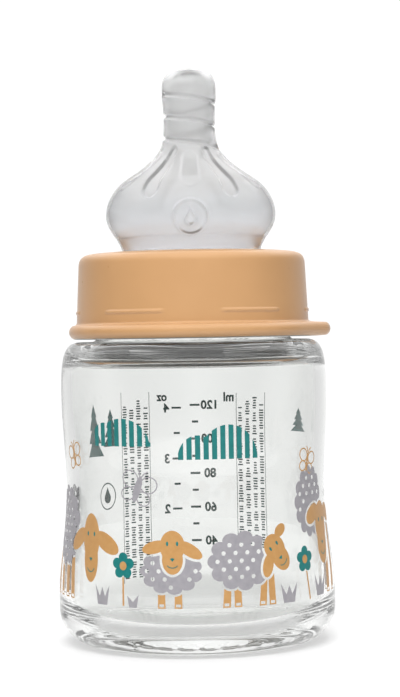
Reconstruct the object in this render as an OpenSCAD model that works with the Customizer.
// Wide-neck glass feeding bottle: glass bottle, screw ring and silicone teat.
// Millimetres, +Z up. The origin is the centre of the circle that the bottle stands on.

/* [Glass body] */
// Largest radius of the body, just above the rounded heel
base_r = 31.9; // [29:0.1:36]
// Radius of the narrow waist that the hand grips
waist_r = 29.8; // [27:0.1:31.5]
// Radius of the upper body, below the shoulder
chest_r = 30.7; // [28:0.1:34]
// Radius of the flat ring that the bottle stands on
foot_r = 24; // [20:0.5:26]
// Height of the waist above the table
waist_z = 37; // [30:0.5:42]
// Height of the upper body's widest circle
chest_z = 57.5; // [52:0.5:60]
// Height of the flat top of the shoulder
shoulder_z = 69.5; // [68:0.5:74]
// Thickness of the glass wall
wall = 2.6; // [1.8:0.1:3]
// Thickness of the shoulder above the corner inside it
shoulder_t = 4.1; // [3:0.1:5]
// Thickness of the glass floor at its edge
floor_t = 5; // [3:0.5:7]
// Depth of the hollow under the floor
punt_depth = 1.6; // [0.5:0.1:2.5]

/* [Neck] */
// Radius of the neck at the root of its thread
neck_r = 22.4; // [21:0.1:23]
// Height of the rim above the table
rim_z = 85.7; // [84:0.1:90]
// Height that the thread climbs in one turn
thread_lead = 4.5; // [4:0.1:5]
// Radial height of the bottle's thread
thread_h = 1.6; // [1.2:0.1:1.8]
// Turns of thread on the bottle and in the ring
thread_turns = 1.5; // [1:0.25:1.75]
// Radial gap between the ring and the neck at the crests of both threads
thread_gap = 0.4; // [0.3:0.05:0.5]

/* [Screw ring] */
// Radius of the ring's body just above its flange
ring_r = 26.8; // [26:0.1:29]
// Radius of the ring's body below its rounded top edge
ring_top_r = 26.2; // [25.8:0.1:29]
// Radius of the flange round the ring's lower edge
flange_r = 28.65; // [28:0.05:30]
// Thickness of the flange, which is also the diameter of its rounded edge
flange_t = 3.4; // [2.5:0.1:4]
// Thickness of the ring's top
ring_top_t = 1.8; // [1.4:0.1:2.4]
// Radius of the hole that the teat comes up through
ring_hole_r = 16.2; // [15:0.1:18]
// Radius of the rounded end of the lifting tab
tab_r = 7; // [5:0.5:10]
// Number of low ribs that hold a travel cap
snap_ribs = 6; // [3:1:8]

/* [Teat] */
// Largest radius of the teat's bulb
bulb_r = 19.65; // [18:0.05:21]
// Radius of the nipple's shank
shank_r = 5.8; // [5.4:0.1:6.5]
// Radius of the nipple's head
head_r = 6.26; // [5.9:0.02:7]
// Overall height of the bottle with its teat
top_z = 132; // [131:0.5:136]
// Thickness of the silicone
skin = 1.5; // [1.2:0.1:1.8]
// Radius of the feed hole in the tip
feed_hole_r = 0.3; // [0.2:0.05:0.5]

/* [Hidden] */
$fn = 96;

curve_steps = 8;
arc_steps = 6;
thread_steps = 36;      // rings of points in one turn of thread
embed = 0.4;            // how deep a thread is rooted in its wall

heel_r = base_r - foot_r;
band_top_z = 12;        // top of the straight band above the heel
body_in_r = chest_r - wall;
corner_r = 2.5;         // radius inside the body, under the shoulder
neck_bore_r = neck_r - wall;
root_fillet = 0.9;
rim_round = 0.9;
crest_r = neck_r + thread_h;

ring_bore_r = crest_r + thread_gap;
ring_crest_r = neck_r + thread_gap;
ring_bottom_z = shoulder_z + 0.5;
teat_flange_t = 1.9;
ring_seat_z = rim_z + teat_flange_t;      // underside of the ring's top
ring_top_z = ring_seat_z + ring_top_t;
thread_z = ring_bottom_z + 3.2;           // height of the bottle thread's lower end
thread_fade = 24;                         // degrees over which a thread's end runs out
rib_z = ring_bottom_z + 6.1;
rib_angle = 33;

teat_flange_r = ring_bore_r - 0.5;
teat_neck_r = ring_hole_r - 0.2;
bulb_z = ring_top_z + 8.9;
cone_z = bulb_z + 7.9;
shank_z = top_z - 16.8;
tip_flat_r = 2.2;
vent_r = 1.5;
flute_count = 6;

// Point on a cubic curve with end points a and d and handles b and c.
function bezier(a, b, c, d, t) =
    pow(1 - t, 3) * a + 3 * t * pow(1 - t, 2) * b + 3 * t * t * (1 - t) * c + pow(t, 3) * d;

// The curve's points, without its first point.
function curve(a, b, c, d) = [for (i = [1:curve_steps]) bezier(a, b, c, d, i / curve_steps)];

// Points of an arc about a centre, from one angle to another.
function arc(centre, r, from, to) =
    [for (i = [0:arc_steps]) let (a = from + (to - from) * i / arc_steps)
        centre + r * [cos(a), sin(a)]];

// How much of a thread's height stands at a fraction of its length, run out at both ends.
function run_out(t, sweep) = min(1, t * sweep / thread_fade, (1 - t) * sweep / thread_fade);

// Helical ridge rooted at root_r with its crest at tip_r. It climbs thread_lead in each turn.
module thread(root_r, tip_r, start_z, root_w, tip_w) {
    sweep = 360 * thread_turns;
    steps = round(thread_steps * thread_turns);
    side = sign(tip_r - root_r);
    points = [for (k = [0:steps])
        let (t = k / steps, a = sweep * t, z = start_z + thread_lead * a / 360,
             tip = root_r + (tip_r - root_r) * run_out(t, sweep),
             root = root_r - side * embed,
             section = [[root, -side * root_w / 2], [tip, -side * tip_w / 2],
                        [tip, side * tip_w / 2], [root, side * root_w / 2]])
        for (p = section) [p[0] * cos(a), p[0] * sin(a), z + p[1]]];
    sides = [for (k = [0:steps - 1], i = [0:3])
        let (a = 4 * k + i, b = 4 * k + (i + 1) % 4)
        each [[a, b, b + 4], [a, b + 4, a + 4]]];
    polyhedron(points, concat([[3, 2, 1, 0]], sides, [[for (i = [0:3]) 4 * steps + i]]));
}

// Disc with a fully rounded edge.
module pill_disc(r, t) {
    rotate_extrude($fn = 32) {
        square([r - t / 2, t]);
        translate([r - t / 2, t / 2]) intersection() {
            circle(d = t);
            translate([0, -t / 2]) square([t / 2, t]);
        }
    }
}

// Half of the glass wall's section, from the hollow under the floor round to the inside.
function glass_outside() = concat(
    [[0, punt_depth], [foot_r * 0.55, punt_depth * 0.8], [foot_r - 3, 0.25], [foot_r - 2, 0]],
    arc([foot_r, heel_r], heel_r, -90, 0),
    curve([base_r, band_top_z], [base_r, band_top_z + 7.5], [waist_r, waist_z - 12],
          [waist_r, waist_z]),
    curve([waist_r, waist_z], [waist_r, waist_z + 6], [chest_r, chest_z - 7.5],
          [chest_r, chest_z]),
    curve([chest_r, chest_z], [chest_r, shoulder_z - 4], [chest_r - 0.5, shoulder_z],
          [chest_r - 4.5, shoulder_z]),
    arc([neck_r + root_fillet, shoulder_z + root_fillet], root_fillet, 270, 180),
    arc([neck_r - rim_round, rim_z - rim_round], rim_round, 0, 90));

function glass_inside() = let (corner = [body_in_r - corner_r, shoulder_z - shoulder_t]) concat(
    arc([neck_bore_r + rim_round, rim_z - rim_round], rim_round, 90, 180),
    [[neck_bore_r, shoulder_z - 0.5]],
    curve([neck_bore_r, shoulder_z - 0.5], [neck_bore_r, shoulder_z - 2.5],
          [body_in_r - 5.6, shoulder_z - shoulder_t + 0.4], corner),
    arc([corner[0], corner[1] - corner_r], corner_r, 90, 0),
    curve([body_in_r, chest_z], [body_in_r, chest_z - 7.5], [waist_r - wall, waist_z + 6],
          [waist_r - wall, waist_z]),
    curve([waist_r - wall, waist_z], [waist_r - wall, waist_z - 12],
          [base_r - wall, band_top_z + 7.5], [base_r - wall, band_top_z]),
    arc([foot_r - 1, floor_t + heel_r - 1.6], base_r - wall - foot_r + 1, 0, -90),
    [[0, floor_t + 1.2]]);

module glass_bottle() {
    color([0.86, 0.93, 0.93, 0.45]) {
        rotate_extrude() polygon(concat(glass_outside(), glass_inside()));
        thread(neck_r, crest_r, thread_z, 2.3, 1.1);
    }
}

// Half section of the ring: bore, flange, tapered body, rounded top and hole.
function ring_section() = concat(
    [[ring_bore_r + 0.5, ring_bottom_z]],
    arc([flange_r - flange_t / 2, ring_bottom_z + flange_t / 2], flange_t / 2, -90, 75),
    [[ring_r, ring_bottom_z + flange_t + 0.5]],
    curve([ring_top_r, ring_top_z - 2.8], [ring_top_r - 0.1, ring_top_z - 0.9],
          [ring_top_r - 1, ring_top_z - 0.1], [ring_top_r - 3.4, ring_top_z]),
    arc([ring_hole_r + 0.5, ring_top_z - 0.5], 0.5, 90, 180),
    [[ring_hole_r, ring_seat_z], [ring_bore_r, ring_seat_z],
     [ring_bore_r, ring_bottom_z + 0.5]]);

// Thumb tab: it leaves the flange along two tangents and ends in a round nose.
module ring_tab() {
    nose_x = base_r - tab_r;
    slope = (flange_r - tab_r) / nose_x;
    blend_x = nose_x / 2;
    difference() {
        hull() {
            translate([nose_x, 0, ring_bottom_z]) pill_disc(tab_r, flange_t);
            translate([blend_x, 0, ring_bottom_z]) pill_disc(flange_r - slope * blend_x, flange_t);
        }
        translate([0, 0, ring_bottom_z - 1]) cylinder(r = ring_bore_r + 0.6, h = flange_t + 2);
    }
}

module ring_ribs() {
    rib_half_h = 0.55;
    for (i = [0:snap_ribs - 1])
        rotate([0, 0, -rib_angle / 2 + 360 * (i + 1) / snap_ribs])
            rotate_extrude(angle = rib_angle)
                translate([ring_r - 0.5, rib_z])
                    polygon([[0, -rib_half_h], [0.4, -rib_half_h], [0.7, 0], [0.4, rib_half_h],
                             [0, rib_half_h]]);
}

module screw_ring() {
    color([0.85, 0.66, 0.47]) {
        rotate_extrude() polygon(ring_section());
        ring_tab();
        ring_ribs();
        thread(ring_bore_r, ring_crest_r, thread_z - thread_lead / 2, 2.3, 1.1);
    }
}

// Outer half section of the teat, from the hole in the ring up to the tip.
function teat_outside() = concat(
    [[teat_neck_r, ring_seat_z], [teat_neck_r, ring_top_z + 0.4]],
    curve([teat_neck_r, ring_top_z + 0.4], [teat_neck_r + 0.5, ring_top_z + 3.5],
          [bulb_r, bulb_z - 3.8], [bulb_r, bulb_z]),
    curve([bulb_r, bulb_z], [bulb_r, bulb_z + 3.1], [bulb_r - 2.05, cone_z - 1.6],
          [bulb_r - 4.35, cone_z]),
    curve([bulb_r - 4.35, cone_z], [bulb_r - 7.05, cone_z + 1.9], [shank_r + 1.1, shank_z - 4],
          [shank_r + 0.5, shank_z]),
    curve([shank_r + 0.5, shank_z], [shank_r, shank_z + 2], [shank_r, shank_z + 7],
          [head_r, shank_z + 10]),
    [[head_r, top_z - 4.4]],
    curve([head_r, top_z - 4.4], [head_r, top_z - 1.2], [head_r - 1.9, top_z],
          [tip_flat_r, top_z]),
    [[tip_flat_r - 0.3, top_z - 0.3]]);

// Inner half section, from the tip down to the flange.
function teat_inside() = concat(
    [[feed_hole_r, top_z - 0.3], [feed_hole_r, top_z - skin - 0.5]],
    curve([feed_hole_r, top_z - skin - 0.5], [2.2, top_z - skin - 0.5],
          [head_r - skin, top_z - skin - 2], [head_r - skin, top_z - 6]),
    curve([head_r - skin, shank_z + 10], [shank_r - skin, shank_z + 7],
          [shank_r - skin, shank_z + 2], [shank_r - skin + 0.3, shank_z - 0.7]),
    curve([shank_r - skin + 0.3, shank_z - 0.7], [shank_r, shank_z - 5],
          [bulb_r - 8, cone_z + 0.7], [bulb_r - 5.4, cone_z - 1]),
    curve([bulb_r - 5.4, cone_z - 1], [bulb_r - 3.3, cone_z - 2.5],
          [bulb_r - skin, bulb_z + 2.6], [bulb_r - skin, bulb_z]),
    curve([bulb_r - skin, bulb_z], [bulb_r - skin, bulb_z - 4],
          [teat_neck_r - skin, ring_top_z + 3.5], [teat_neck_r - skin, ring_top_z]));

// Flange that the ring clamps on the rim, with a lip that centres it in the neck.
function teat_foot() = let (lip_r = neck_bore_r - 0.5, lip_h = 1.4) [
    [teat_neck_r - skin, rim_z + 0.6], [lip_r - 1.6, rim_z], [lip_r - 1.4, rim_z - lip_h],
    [lip_r - 0.3, rim_z - lip_h], [lip_r, rim_z - 0.3], [lip_r, rim_z],
    [teat_flange_r, rim_z], [teat_flange_r, ring_seat_z]];

// Cone under the flange with a slit that lets air in as the baby drinks.
module vent() {
    difference() {
        translate([0, 0, -1.3]) cylinder(r1 = vent_r * 0.7, r2 = vent_r, h = 1.8);
        translate([-vent_r, -0.1, -2]) cube([2 * vent_r, 0.2, 1.6]);
    }
}

// Shallow channels down the cone that keep it from folding in.
module flute_cutters() {
    cutter_r = 3;
    flute_depth = 0.35;
    top = [shank_r + 2.2, shank_z - 3];
    foot = [bulb_r - 1.45, cone_z - 2.8];
    run = foot - top;
    away = [-run[1], run[0]] / norm(run);
    start = top + away * (cutter_r - flute_depth);
    for (i = [0:flute_count - 1])
        rotate([0, 0, 30 + 360 * i / flute_count])
            translate([start[0], 0, start[1]])
                rotate([0, 90 + atan2(-run[1], run[0]), 0])
                    cylinder(r = cutter_r, h = norm(run));
}

module teat() {
    color([0.9, 0.92, 0.93, 0.6]) {
        difference() {
            rotate_extrude() polygon(concat(teat_outside(), teat_inside(), teat_foot()));
            flute_cutters();
        }
        translate([0, -neck_bore_r + 3.5, rim_z]) vent();
    }
}

glass_bottle();
screw_ring();
teat();
